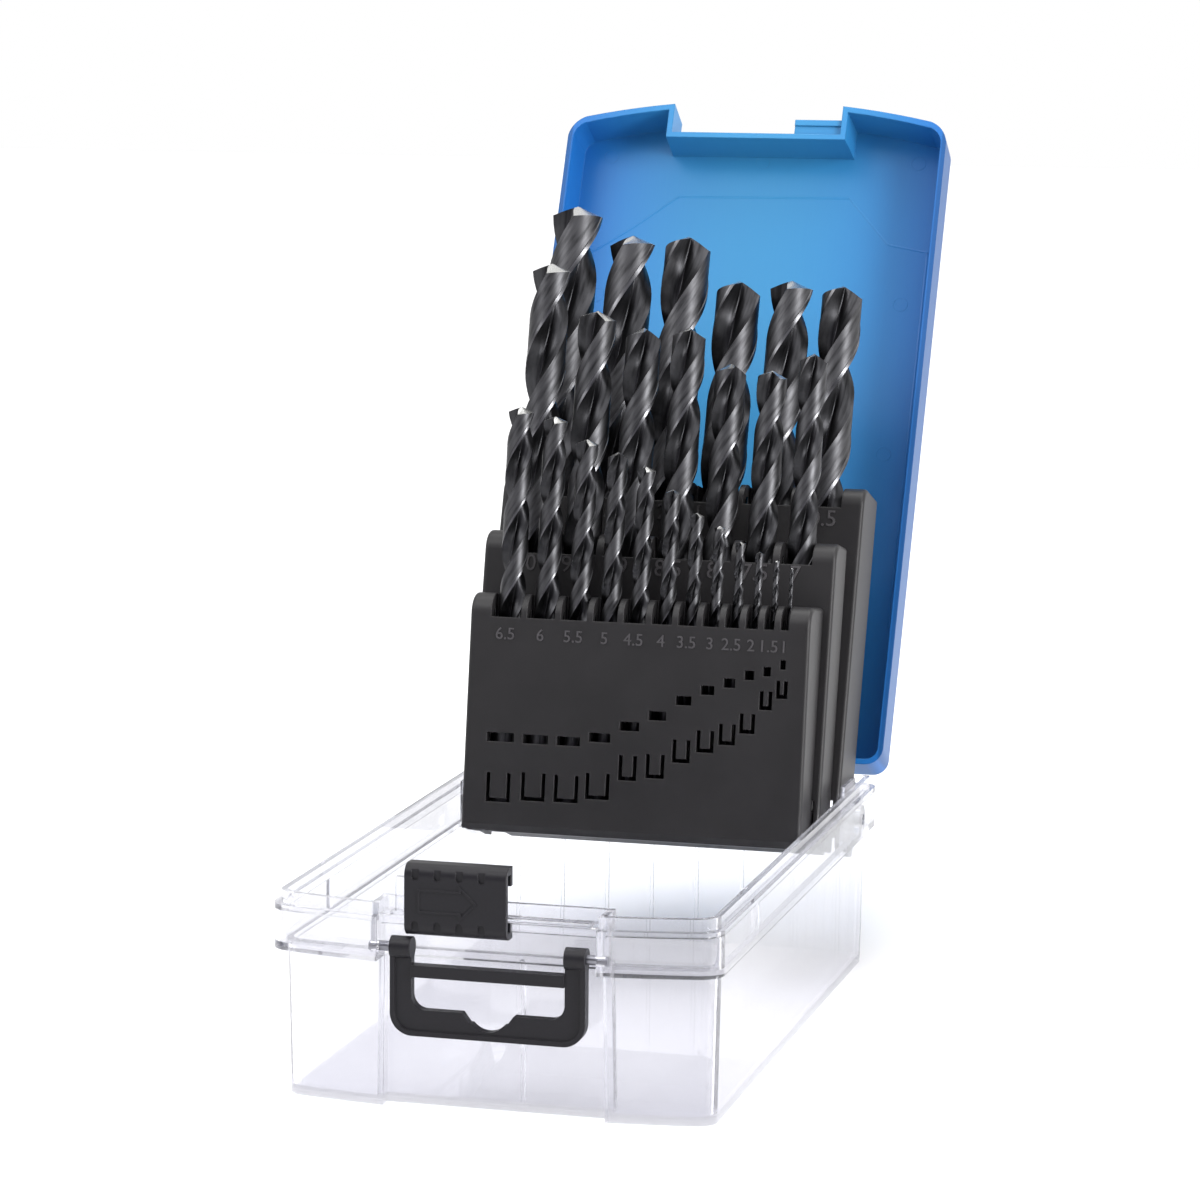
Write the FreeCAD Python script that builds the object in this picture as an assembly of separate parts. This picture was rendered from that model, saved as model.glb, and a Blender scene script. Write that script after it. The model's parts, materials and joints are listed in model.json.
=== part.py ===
import FreeCAD, Part
import math
import os

# Drill bit case: clear base, blue lid, three swinging racks and 25 twist drills.
# Millimetres. X runs across the case, Y towards its back and Z up.
# The origin is the centre of the underside. The case stands open.

# Driving sizes of the base: half width and ends of its upper flange, and heights
flange_half = 50.6
flange_rear = 86.5
flange_front = -86.5
flange_bow = 6.35
body_top = 33.7
flange_height = 10.0
lip_height = 2.6
wall = 1.5
floor_top = 1.9
corner = 4.0
corner_share = 0.293

# Base shell
flange_top = body_top + flange_height
lip_top = flange_top + lip_height
notch_depth = 2.0
flange_notch = flange_front + notch_depth
body_step = 1.72
body_half = flange_half - body_step
body_rear_step = 4.6
body_rear = flange_rear - body_rear_step
body_front_step = 4.5
body_front = flange_front + body_front_step
body_bow = 4.6
body_draft = 0.6
body_notch_step = 2.5
body_notch = flange_notch + body_notch_step
lip_step = 1.2
lip_half = flange_half - lip_step
lip_front_step = 1.6
lip_front = flange_front + lip_front_step
lip_notch = flange_notch + body_notch_step
lip_rear_gap = 3.0
lip_rear_cut = flange_rear - lip_rear_gap
recess_half = 24.5
lip_recess_gap = 0.1
lip_recess_half = recess_half + lip_recess_gap
rib = 0.8
rear_rib_margin = 7.88
rear_rib_first = rear_rib_margin - body_half
rear_rib_pitch = 11.65
rear_rib_count = 8
front_rib_left = 5.0
side_rib_back = -48.0
side_rib_length = 3.0

# Latch rail on the base and its slider
rail_reach = 3.6
rail_front = flange_notch - rail_reach
rail_depth = 1.6
rail_back = rail_front + rail_depth
rail_rise = 0.5
rail_top = flange_top + rail_rise
rail_height = 2.8
rail_foot = rail_top - rail_height
rail_head_gap = 2.1
rail_head_half = recess_half - rail_head_gap
rail_head = 1.0
web_foot = rail_top - rail_head
web_bite = 0.4
web_back = flange_notch + web_bite
lug_left = -21.2
lug_right = 3.5
lug_height = 7.7
lug_top = rail_top + lug_height
slider_left_gap = 2.6
slider_left = lug_left + slider_left_gap
slider_right_reach = 0.7
slider_right = lug_right + slider_right_reach
slider_overlap = 2.0
slider_foot = rail_foot - slider_overlap
slider_cover = 3.3
slider_top = lug_top + slider_cover
slider_reach = 1.9
slider_front = rail_front - slider_reach
slider_wall = 1.6
slider_gap = 0.3
lip_front_face = rail_back + slider_gap
slider_lip = 1.4
lip_back_face = lip_front_face + slider_lip
slider_hook = 1.6
slider_foot_lip = rail_foot + slider_hook
slider_top_hook = 0.9
slider_top_lip = lug_top - slider_top_hook
slider_round = 2.6
dimple_margin = 2.4
dimple_first = slider_left + dimple_margin
dimple_pitch = 4.95
dimple_count = 4
dimple_width = 1.5
dimple_length = 3.4
dimple_depth = 0.5
arrow_margin = 3.0
arrow_left = slider_left + arrow_margin
arrow_shaft = 9.4
arrow_neck = arrow_left + arrow_shaft
arrow_head = 3.9
arrow_tip = arrow_neck + arrow_head
arrow_half = 2.6
arrow_head_half = 3.9
arrow_line = 0.45
arrow_rise = 0.25

# Lid, drawn shut and then swung open
lid_reach = 0.56
lid_half = flange_half + lid_reach
lid_wall = 1.4
lid_rear_reach = 0.6
lid_rear = flange_rear + lid_rear_reach
lid_front_reach = 0.3
lid_front = flange_front - lid_front_reach
lid_bow = flange_bow
lid_notch_step = 0.7
lid_notch = flange_notch + lid_notch_step
lid_foot_gap = 0.15
lid_foot = flange_top + lid_foot_gap
lid_height = 13.2
lid_top = lid_foot + lid_height
lid_draft = 0.6
lid_notch_clear = 1.7
lid_notch_half = recess_half - lid_notch_clear
lid_corner = 4.5
lid_round = 1.3
block_gap = 6.7
block_left = lug_right + block_gap
block_foot_gap = 0.3
block_foot = rail_top + block_foot_gap
block_top_gap = 1.9
block_top = slider_top - block_top_gap
block_web_step = 0.5
block_web_foot = block_foot + block_web_step
block_web_height = 5.3
block_web_top = block_web_foot + block_web_height

# Lid hinge
hinge_reach = 2.3
hinge_y = flange_rear + hinge_reach
hinge_rise = 2.1
hinge_z = flange_top + hinge_rise
lid_swing = 116.0
hinge_x = 28.0
knuckle_radius = 2.6
knuckle_half = 5.0
lug_gap = 0.3
lug_width = 4.0
hinge_pin_radius = 1.0
pin_gap = 0.04
lug_bracket_rise = 2.3
lug_bracket_foot = body_top + lug_bracket_rise
lid_notch_gap = 0.5
lid_notch_side = 0.25

# Common pivot of the three racks, and the racks' half widths between its bosses
pivot_inset = 18.5
pivot_y = flange_rear - pivot_inset
pivot_rise = 4.5
pivot_z = body_top + pivot_rise
pivot_radius = 1.3
pivot_gap = 0.05
boss_depth = 3.7
boss_inner = flange_half - boss_depth
boss_radius = 3.6
rack_side_gap = 0.48
back_rack_half = boss_inner - rack_side_gap
middle_rack_step = 2.07
middle_rack_half = back_rack_half - middle_rack_step
front_rack_step = 2.05
front_rack_half = middle_rack_half - front_rack_step
pin_reach = 1.3
pivot_inner = front_rack_half - pin_reach
pin_cover = 0.4
pivot_outer = flange_half - pin_cover
eye_radius = 2.4
arm_top = 2.2
arm_foot = -5.0
arm_wall = 1.1
arm_zone_gap = 1.4
arm_zone_inner = pivot_inner - arm_zone_gap
arm_zone_top = 3.0
bracket_reach = 17.0
bracket_front = pivot_y - bracket_reach
bracket_step_reach = 10.0
bracket_step = pivot_y - bracket_step_reach
bracket_tail = 3.0
bracket_back = pivot_y + bracket_tail
bracket_low_rise = 1.6
bracket_low = flange_top + bracket_low_rise
bracket_top_rise = 4.3
bracket_top = flange_top + bracket_top_rise
bracket_wall = 0.9

# Racks
rack_wall = 1.6
rack_face = 1.8
rack_deck = 3.0
rack_round = 5.0
front_first_margin = 9.1
middle_first_margin = 10.75
back_first_margin = 11.42
sleeve_wall = 1.0
rib_wall = 1.2
hole_gap = 0.05
notch_gap = 0.45
seat_wall = 1.2
toe_round = 1.5
side_round = 1.0
heel_rise = 7.0
heel_cut = 1.5

# Drills
flute_half_angle = 40.0
helix_angle = 30.0
point_half_angle = 67.5
web_share = 0.2
guide_share = 1.5
full_turn = 360.0

# Handle
handle_side_gap = 2.65
handle_half = recess_half - handle_side_gap
handle_stand_off = 3.9
handle_pivot_y = flange_notch - handle_stand_off
handle_pivot_rise = 2.9
handle_pivot_z = body_top + handle_pivot_rise
handle_front_depth = 1.6
handle_front = handle_pivot_y - handle_front_depth
handle_back_depth = 1.4
handle_back = handle_pivot_y + handle_back_depth
handle_drop = 19.2
handle_foot = handle_pivot_z - handle_drop
knob_radius = 2.45
handle_arm = 4.7
bar_drop = 6.2
bar_foot = handle_pivot_z - bar_drop
bar_height = 2.6
bar_top = bar_foot + bar_height
grip_height = 5.7
grip_top = handle_foot + grip_height
thumb_radius = 4.6
thumb_rise = 0.7
thumb_mouth = 5.8
thumb_throat = 4.2
thumb_slope = 2.2
handle_corner = 5.0
opening_corner = 3.2
handle_rim = 1.1
handle_pocket = 0.6
handle_pin_radius = 1.1
handle_pin_bite = 2.45
handle_pin_inner = handle_half - handle_pin_bite
handle_pin_reach = 2.1
handle_pin_outer = recess_half + handle_pin_reach

# Each drill: name, diameter, length, flute length, the height of its tip above the pivot
# and the direction of a cutting lip, as the drills happen to be turned.
front_drills = [
    ("6_5", 6.5, 101.0, 63.0, 97.3, 15.0),
    ("6_0", 6.0, 93.0, 57.0, 95.2, 25.0),
    ("5_5", 5.5, 93.0, 57.0, 89.9, 40.0),
    ("5_0", 5.0, 86.0, 52.0, 87.1, 100.0),
    ("4_5", 4.5, 80.0, 47.0, 83.8, 30.0),
    ("4_0", 4.0, 75.0, 43.0, 78.5, 70.0),
    ("3_5", 3.5, 70.0, 39.0, 73.1, 50.0),
    ("3_0", 3.0, 61.0, 33.0, 70.2, 0.0),
    ("2_5", 2.5, 57.0, 30.0, 66.6, 40.0),
    ("2_0", 2.0, 49.0, 24.0, 64.3, 70.0),
    ("1_5", 1.5, 40.0, 18.0, 62.4, 10.0),
    ("1_0", 1.0, 34.0, 12.0, 60.8, 0.0),
]
middle_drills = [
    ("10_0", 10.0, 133.0, 87.0, 133.5, 15.0),
    ("9_5", 9.5, 125.0, 81.0, 121.9, 55.0),
    ("9_0", 9.0, 125.0, 81.0, 118.0, 115.0),
    ("8_5", 8.5, 117.0, 75.0, 118.3, 95.0),
    ("8_0", 8.0, 117.0, 75.0, 109.7, 125.0),
    ("7_5", 7.5, 109.0, 69.0, 108.3, 60.0),
    ("7_0", 7.0, 109.0, 69.0, 112.8, 100.0),
]
back_drills = [
    ("10_5", 10.5, 133.0, 87.0, 134.6, 95.0),
    ("11_0", 11.0, 142.0, 94.0, 135.6, 15.0),
    ("11_5", 11.5, 142.0, 94.0, 135.2, 105.0),
    ("12_0", 12.0, 151.0, 101.0, 146.5, 95.0),
    ("12_5", 12.5, 151.0, 101.0, 146.4, 5.0),
    ("13_0", 13.0, 151.0, 101.0, 153.8, 20.0),
]

# For each drill of the front rack: foot heights of the small window and of the tab slot under it,
# and the width of that slot.
window_feet = [15.3, 15.2, 15.2, 16.5, 19.6, 22.5, 26.5, 29.3, 31.3, 33.4, 34.5, 36.3]
tab_feet = [0.6, 1.3, 1.4, 2.6, 7.6, 8.5, 12.6, 15.4, 17.5, 20.5, 26.4, 29.3]
window_height = 2.2
window_gap = 0.35
tab_widths = [6.1, 6.1, 6.1, 6.0, 4.5, 4.6, 4.4, 4.3, 4.1, 3.8, 3.1, 2.8]
tab_slot = 0.95
tab_base_height = 3.7
tab_height_share = 0.52

# Racks: half width, front plane ahead of the pivot, lean, foot and deck heights, depth at foot and deck,
# depth of the drill axes, first drill's x, land between drills, direction of the row, and its drills.
racks = {
    "rack_front": {
        "half": front_rack_half, "ahead": 35.2, "lean": 9.0, "foot": -6.3, "deck": 51.5,
        "foot_depth": 10.9, "deck_depth": 14.6, "axis_depth": 5.2,
        "first_x": front_first_margin - front_rack_half, "land": 2.55, "turn": 1, "drills": front_drills,
    },
    "rack_middle": {
        "half": middle_rack_half, "ahead": 23.3, "lean": 13.7, "foot": -9.0, "deck": 65.9,
        "foot_depth": 12.0, "deck_depth": 12.6, "axis_depth": 6.2,
        "first_x": middle_first_margin - middle_rack_half, "land": 2.85, "turn": 1, "drills": middle_drills,
    },
    "rack_back": {
        "half": back_rack_half, "ahead": 10.8, "lean": 19.3, "foot": -9.0, "deck": 81.7,
        "foot_depth": 16.0, "deck_depth": 16.8, "axis_depth": 8.0,
        "first_x": back_rack_half - back_first_margin, "land": 2.4, "turn": -1, "drills": back_drills,
    },
}

over = 1.0
X_AXIS = FreeCAD.Vector(1, 0, 0)
Y_AXIS = FreeCAD.Vector(0, 1, 0)
Z_AXIS = FreeCAD.Vector(0, 0, 1)
ORIGIN = FreeCAD.Vector(0, 0, 0)


def point(x, y, z=0.0):
    return FreeCAD.Vector(x, y, z)


def box(x0, x1, y0, y1, z0, z1):
    return Part.makeBox(x1 - x0, y1 - y0, z1 - z0, point(x0, y0, z0))


def rod(radius, x0, x1, y, z):
    return Part.makeCylinder(radius, x1 - x0, point(x0, y, z), X_AXIS)


def both_sides(shape):
    """The shape and its mirror image across the case's middle plane."""
    return shape.fuse(shape.mirror(ORIGIN, X_AXIS))


def outline(z, half, rear, front, bow, notch_half, notch, radius):
    """Closed outline of the case at height z, with a bowed front and a middle recess."""
    bow_radius = (half * half + bow * bow) / (2 * bow)

    def edge(x):
        return front - bow + bow_radius - math.sqrt(bow_radius * bow_radius - x * x)

    edges = []

    def line(a, b):
        edges.append(Part.makeLine(a, b))

    def arc(a, middle, b):
        edges.append(Part.Arc(a, middle, b).toShape())

    cut = corner_share * radius
    rear_left = point(-half + radius, rear, z)
    rear_right = point(half - radius, rear, z)
    right_back = point(half, rear - radius, z)
    right_front = point(half, front + radius, z)
    front_right = point(half - radius, edge(half - radius), z)
    notch_right = point(notch_half, edge(notch_half), z)
    recess_right = point(notch_half, notch, z)
    line(rear_left, rear_right)
    arc(rear_right, point(half - cut, rear - cut, z), right_back)
    line(right_back, right_front)
    arc(right_front, point(half - cut, edge(half) + cut, z), front_right)
    middle_x = (half - radius + notch_half) / 2
    arc(front_right, point(middle_x, edge(middle_x), z), notch_right)
    line(notch_right, recess_right)
    line(recess_right, point(-notch_half, notch, z))
    line(point(-notch_half, notch, z), point(-notch_half, edge(notch_half), z))
    arc(
        point(-notch_half, edge(notch_half), z),
        point(-middle_x, edge(middle_x), z),
        point(-half + radius, edge(half - radius), z),
    )
    arc(
        point(-half + radius, edge(half - radius), z),
        point(-half + cut, edge(half) + cut, z),
        point(-half, front + radius, z),
    )
    line(point(-half, front + radius, z), point(-half, rear - radius, z))
    arc(point(-half, rear - radius, z), point(-half + cut, rear - cut, z), rear_left)
    return Part.Wire(edges)


def tier(z0, z1, inset, half, rear, front, bow, notch_half, notch, draft=0.0, radius=corner):
    """One storey of the case, its wall face inset by a number; draft narrows its lower end."""
    low = inset + draft
    round_low = max(radius - low, pivot_radius)
    round_high = max(radius - inset, pivot_radius)
    foot = outline(z0, half - low, rear - low, front + low, bow, notch_half + low, notch + low, round_low)
    head = outline(
        z1, half - inset, rear - inset, front + inset, bow, notch_half + inset, notch + inset, round_high
    )
    return Part.makeLoft([foot, head], True, True)


def place_open(shape, rack):
    """Lean a rack, or a drill in it, back about the common pivot."""
    shape.rotate(ORIGIN, X_AXIS, -rack["lean"])
    shape.translate(point(0, pivot_y, pivot_z))
    return shape


def hinge_spans():
    """X ranges of the base's hinge lugs, one pair at each knuckle."""
    spans = []
    for side in (-1, 1):
        middle = side * hinge_x
        spans.append((middle - knuckle_half - lug_gap - lug_width, middle - knuckle_half - lug_gap))
        spans.append((middle + knuckle_half + lug_gap, middle + knuckle_half + lug_gap + lug_width))
    return spans


# Base shell


def make_base():
    body = (body_half, body_rear, body_front, body_bow, recess_half, body_notch)
    flange = (flange_half, flange_rear, flange_front, flange_bow, recess_half, flange_notch)
    lip = (lip_half, flange_rear - over, lip_front, flange_bow, lip_recess_half, lip_notch)
    ledge = body_top + wall
    neck = flange_top - wall
    shell = tier(0, body_top, 0, *body, draft=body_draft)
    shell = shell.fuse(tier(body_top, flange_top, 0, *flange))
    shell = shell.fuse(tier(flange_top, lip_top, 0, *lip))
    hollow = tier(floor_top, ledge, wall, *body, draft=body_draft)
    hollow = hollow.fuse(tier(ledge, neck, wall, *flange))
    hollow = hollow.fuse(tier(neck, lip_top + over, wall, *lip))
    shell = shell.cut(hollow)
    shell = shell.cut(box(-flange_half, flange_half, lip_rear_cut, flange_rear + over, flange_top, lip_top + over))

    for index in range(rear_rib_count):
        x = rear_rib_first + index * rear_rib_pitch
        back = body_rear - wall - body_draft
        shell = shell.fuse(box(x, x + rib, back - rib, back + rib, floor_top - rib, body_top))
    front = body_notch + wall + body_draft
    shell = shell.fuse(box(front_rib_left, front_rib_left + rib, front - rib, front + rib, floor_top - rib, body_top))
    side = flange_half - wall
    stiffener = box(side - rib, side + rib, side_rib_back - side_rib_length, side_rib_back, ledge - rib, neck + rib)
    shell = shell.fuse(both_sides(stiffener))

    rail = box(-recess_half, recess_half, rail_front, rail_back, rail_foot, web_foot)
    web = box(-rail_head_half, rail_head_half, rail_front, web_back, web_foot, rail_top)
    lug = box(lug_left, lug_right, rail_front, rail_back, rail_foot, lug_top)
    shell = shell.fuse([rail, web, lug])

    for left, right in hinge_spans():
        bracket = box(left, right, flange_rear - wall, hinge_y + hinge_pin_radius, lug_bracket_foot, flange_top - rib)
        arm = box(left, right, hinge_y - hinge_pin_radius, hinge_y + knuckle_radius, lug_bracket_foot + wall, hinge_z)
        shell = shell.fuse([bracket, arm, rod(knuckle_radius, left, right, hinge_y, hinge_z)])
        shell = shell.cut(rod(hinge_pin_radius + pin_gap, left - over, right + over, hinge_y, hinge_z))

    boss = rod(boss_radius, boss_inner, flange_half - rib, pivot_y, pivot_z)
    plate_outer = boss_inner + bracket_wall
    low_plate = box(boss_inner, plate_outer, bracket_front, bracket_back, ledge - rib, bracket_low)
    high_plate = box(boss_inner, plate_outer, bracket_step, bracket_back, ledge - rib, bracket_top)
    foot_plate = box(boss_inner, flange_half - rib, bracket_front, bracket_back, body_top, ledge)
    shell = shell.fuse(both_sides(boss.fuse([low_plate, high_plate, foot_plate])))
    bore = rod(pivot_radius + pin_gap, boss_inner - over, flange_half + over, pivot_y, pivot_z)
    shell = shell.cut(both_sides(bore))

    pin = rod(handle_pin_radius + pin_gap, recess_half - over, recess_half + wall + over, handle_pivot_y, handle_pivot_z)
    return shell.cut(both_sides(pin)).removeSplitter()


# Lid


def make_lid():
    shape = (lid_half, lid_rear, lid_front, lid_bow, lid_notch_half, lid_notch)
    outer = tier(lid_foot, lid_top, lid_draft, *shape, draft=-lid_draft, radius=lid_corner)
    rim = [edge for edge in outer.Edges if min(v.Z for v in edge.Vertexes) > lid_top - rib]
    outer = outer.makeFillet(lid_round, rim)
    inset = lid_draft + lid_wall
    hollow = tier(lid_foot - over, lid_top - lid_wall, inset, *shape, draft=-lid_draft, radius=lid_corner)
    lid = outer.cut(hollow)
    block = box(block_left, lid_notch_half - pin_gap, rail_front, rail_back, block_foot, block_top)
    web = box(block_left, lid_notch_half, rail_back - rib, lid_notch + rib, block_web_foot, block_web_top)
    lid = lid.fuse([block, web])
    for side in (-1, 1):
        middle = side * hinge_x
        lid = lid.fuse(rod(knuckle_radius, middle - knuckle_half, middle + knuckle_half, hinge_y, hinge_z))
    for left, right in hinge_spans():
        side = lid_notch_side
        notch_top = hinge_z + knuckle_radius + lid_notch_gap
        notch_front = lid_rear - wall - lid_notch_gap - over
        lid = lid.cut(box(left - side, right + side, notch_front, lid_rear + over, lid_foot - over, notch_top))
    lid = lid.cut(rod(hinge_pin_radius + pin_gap, -lid_half, lid_half, hinge_y, hinge_z))
    lid.rotate(point(0, hinge_y, hinge_z), X_AXIS, -lid_swing)
    return lid


def make_hinge_pins():
    reach = knuckle_half + lug_gap + lug_width
    return both_sides(rod(hinge_pin_radius, hinge_x - reach, hinge_x + reach, hinge_y, hinge_z))


# Racks


def drill_places(rack):
    """Each drill of a row with its x, spaced by a constant land between neighbours."""
    places = []
    x = rack["first_x"]
    last = None
    for drill in rack["drills"]:
        if last is not None:
            x += rack["turn"] * ((last + drill[1]) / 2 + rack["land"])
        places.append((x, drill))
        last = drill[1]
    return places


def rack_profile(rack, inset):
    """Side view of a rack as a face at x = 0, its faces moved in by the inset."""
    front = -rack["ahead"] + inset * rack_face / rack_wall
    foot = rack["foot"] + inset
    deck = rack["deck"] - inset * rack_deck / rack_wall
    if inset > 0:
        back_foot = back_deck = -rack["ahead"] + rack["deck_depth"] + over
    else:
        back_foot = -rack["ahead"] + rack["foot_depth"]
        back_deck = -rack["ahead"] + rack["deck_depth"]
    radius = rack_round - inset
    heel = point(0, back_foot, foot + heel_rise)
    round_start = point(0, front, deck - radius)
    round_end = point(0, front + radius, deck)
    cut = corner_share * radius
    shoulder = Part.Arc(round_start, point(0, front + cut, deck - cut), round_end).toShape()
    corners = [
        round_end,
        point(0, back_deck, deck),
        heel,
        point(0, back_foot - heel_cut, foot),
        point(0, front + toe_round, foot),
        point(0, front, foot + toe_round),
        round_start,
    ]
    edges = [Part.makeLine(a, b) for a, b in zip(corners, corners[1:])]
    return Part.Face(Part.Wire(edges + [shoulder]))


def slab(face, half):
    face.translate(point(-half, 0, 0))
    return face.extrude(point(2 * half, 0, 0))


def notch_cutter(x, radius, foot, axis, rack):
    """Open notch from a drill hole out through the rounded front of the rack."""
    return box(x - radius, x + radius, -rack["ahead"] - over, axis, foot, rack["deck"] + over)


def window_cutters(rack):
    """Small window and three-sided tab slot in the face below each drill of the front row."""
    cutters = []
    front = -rack["ahead"] - over
    back = -rack["ahead"] + rack["axis_depth"]
    places = zip(drill_places(rack), window_feet, tab_feet, tab_widths)
    for (x, drill), window_foot, tab_foot, tab_width in places:
        half = (drill[1] + window_gap) / 2
        cutters.append(box(x - half, x + half, front, back, window_foot, window_foot + window_height))
        tab_top = tab_foot + tab_base_height + tab_height_share * drill[1]
        tab_half = tab_width / 2
        low = box(x - tab_half, x + tab_half, front, back, tab_foot, tab_foot + tab_slot)
        left = box(x - tab_half, x - tab_half + tab_slot, front, back, tab_foot, tab_top)
        right = box(x + tab_half - tab_slot, x + tab_half, front, back, tab_foot, tab_top)
        cutters += [low, left, right]
    return cutters


def rack_block(rack):
    """Solid block of a rack with its front edges rounded into the sides."""
    block = slab(rack_profile(rack, 0), rack["half"])
    front = -rack["ahead"] + rack_round
    edges = [
        e for e in block.Edges
        if abs(abs(e.CenterOfMass.x) - rack["half"]) < over / 2 and e.BoundBox.YMax < front + over / 2
        and e.BoundBox.ZLength > toe_round + over / 2
    ]
    return block.makeFillet(side_round, edges)


def make_rack(name):
    rack = racks[name]
    axis = -rack["ahead"] + rack["axis_depth"]
    half = rack["half"]
    block = rack_block(rack)
    body = block.cut(slab(rack_profile(rack, rack_wall), half - rack_wall))
    sleeves = []
    holes = []
    for x, (label, diameter, length, flute, tip, turn) in drill_places(rack):
        seat = tip - length
        radius = diameter / 2 + hole_gap
        foot = max(seat - seat_wall, rack["foot"])
        deck = rack["deck"] - rack_deck
        sleeves.append(
            Part.makeCylinder(radius + sleeve_wall, deck - foot + over, point(x, axis, foot), Z_AXIS)
        )
        front = -rack["ahead"] + rack_face - rib
        sleeves.append(box(x - rib_wall / 2, x + rib_wall / 2, front, axis, foot, deck + over))
        holes.append(Part.makeCylinder(radius, rack["deck"] - seat + over, point(x, axis, seat), Z_AXIS))
        notch_foot = rack["deck"] - rack_round - rib
        holes.append(notch_cutter(x, radius + notch_gap, notch_foot, axis, rack))
    body = body.fuse([sleeve.common(block) for sleeve in sleeves])
    cutters = list(holes)
    if rack is racks["rack_front"]:
        cutters += window_cutters(rack)
        arm_inner = half - arm_wall
    else:
        zone = box(arm_zone_inner, half - rack_wall, -rack["ahead"] - over, rack["deck_depth"],
                   rack["foot"] - over, arm_zone_top)
        cutters += [zone, zone.mirror(ORIGIN, X_AXIS)]
        arm_inner = half - rack_wall
    body = body.cut(cutters)
    arm_start = -rack["ahead"] + rack["foot_depth"] - rack_face
    eye = rod(eye_radius, arm_inner, half, 0, 0)
    if arm_start < -eye_radius:
        eye = eye.fuse(box(arm_inner, half, arm_start, 0, arm_foot, arm_top))
    body = body.fuse(both_sides(eye))
    bore = rod(pivot_radius + pivot_gap, arm_inner - over, half + over, 0, 0)
    body = body.cut(both_sides(bore)).removeSplitter()
    return place_open(body, rack)


def make_pivot_pins():
    return both_sides(rod(pivot_radius, pivot_inner, pivot_outer, pivot_y, pivot_z))


# Drills


def flute_section(radius):
    """Lens-shaped cross-section of the fluted length: two lands and two hollows."""
    angle = math.radians(flute_half_angle)
    web = web_share * radius
    a = point(radius * math.cos(angle), -radius * math.sin(angle))
    b = point(radius * math.cos(angle), radius * math.sin(angle))
    c = point(-b.x, b.y)
    d = point(-a.x, a.y)
    edges = [
        Part.Arc(a, point(radius, 0), b).toShape(),
        Part.Arc(b, point(0, web), c).toShape(),
        Part.Arc(c, point(-radius, 0), d).toShape(),
        Part.Arc(d, point(0, -web), a).toShape(),
    ]
    return Part.Wire(edges)


def make_drill(diameter, length, flute, turn):
    """Twist drill standing on its shank end, with right-hand flutes and a pointed tip."""
    radius = diameter / 2
    pitch = math.pi * diameter / math.tan(math.radians(helix_angle))
    spine = Part.Wire([Part.makeLine(ORIGIN, point(0, 0, flute))])
    guide = Part.Wire([Part.makeHelix(pitch, flute, guide_share * radius)])
    sweep = Part.BRepOffsetAPI.MakePipeShell(spine)
    sweep.setAuxiliarySpine(guide, True, 0)
    sweep.add(flute_section(radius))
    sweep.build()
    sweep.makeSolid()
    twist = sweep.shape()
    twist.translate(point(0, 0, length - flute))
    cone_radius = radius + pin_gap
    cone = cone_radius / math.tan(math.radians(point_half_angle))
    start = length - flute
    blank = Part.makeCylinder(cone_radius, flute - cone, point(0, 0, start))
    blank = blank.fuse(Part.makeCone(cone_radius, 0, cone, point(0, 0, length - cone)))
    drill = Part.makeCylinder(radius, start).fuse(twist.common(blank))
    drill.rotate(ORIGIN, Z_AXIS, turn - flute_half_angle - full_turn * flute / pitch)
    return drill


# Handle and latch slider


def rounded_plate(x0, x1, z0, z1, low_radius, high_radius, y0, y1):
    """Upright plate between two y planes with rounded lower and upper corners."""
    plate = box(x0, x1, y0, y1, z0, z1)
    low = [e for e in plate.Edges if upright(e, y1 - y0) and e.CenterOfMass.z < (z0 + z1) / 2]
    plate = plate.makeFillet(low_radius, low)
    if high_radius > 0:
        high = [
            e for e in plate.Edges if upright(e, y1 - y0) and abs(e.CenterOfMass.z - z1) < over / 2
        ]
        plate = plate.makeFillet(high_radius, high)
    return plate


def upright(edge, length):
    """Whether an edge runs straight through the plate's thickness."""
    start, end = edge.Vertexes[0].Point, edge.Vertexes[-1].Point
    return abs(abs(start.y - end.y) - length) < over / 100 and abs(start.x - end.x) < over / 100


def make_handle():
    front, back = handle_front, handle_back
    inner = handle_half - handle_arm
    plate = rounded_plate(-handle_half, handle_half, handle_foot, handle_pivot_z, handle_corner, 0, front, back)
    gap = box(-inner, inner, front - over, back + over, bar_top, handle_pivot_z + over)
    opening = rounded_plate(
        -inner, inner, grip_top, bar_foot, opening_corner, 0, front - over, back + over
    )
    reach = point(0, back - front + 2 * over, 0)
    thumb = Part.makeCylinder(thumb_radius, reach.y, point(0, front - over, grip_top + thumb_rise), Y_AXIS)
    thumb = thumb.common(box(-inner, inner, front - over, back + over, handle_foot, grip_top))
    mouth_points = [
        (-thumb_mouth, grip_top), (thumb_mouth, grip_top),
        (thumb_throat, grip_top - thumb_slope), (-thumb_throat, grip_top - thumb_slope),
    ]
    corners = [point(x, front - over, z) for x, z in mouth_points]
    mouth = Part.Face(Part.makePolygon(corners + corners[:1])).extrude(reach)
    handle = plate.cut([gap, opening, thumb, mouth])
    pocket = rounded_plate(
        -handle_half + handle_rim, handle_half - handle_rim, handle_foot + handle_rim,
        handle_pivot_z + over, handle_corner - handle_rim, 0, front - over, front + handle_pocket,
    )
    bar = box(-inner, inner, front, back, bar_foot, bar_top)
    handle = handle.cut(pocket.cut(bar))
    knob = rod(knob_radius, inner, handle_half, handle_pivot_y, handle_pivot_z)
    handle = handle.fuse(both_sides(knob))
    bore = rod(handle_pin_radius + pivot_gap, handle_pin_inner, handle_half + over, handle_pivot_y, handle_pivot_z)
    return handle.cut(both_sides(bore)).removeSplitter()


def make_handle_pins():
    start = handle_pin_inner + pivot_gap
    return both_sides(rod(handle_pin_radius, start, handle_pin_outer, handle_pivot_y, handle_pivot_z))


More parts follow.
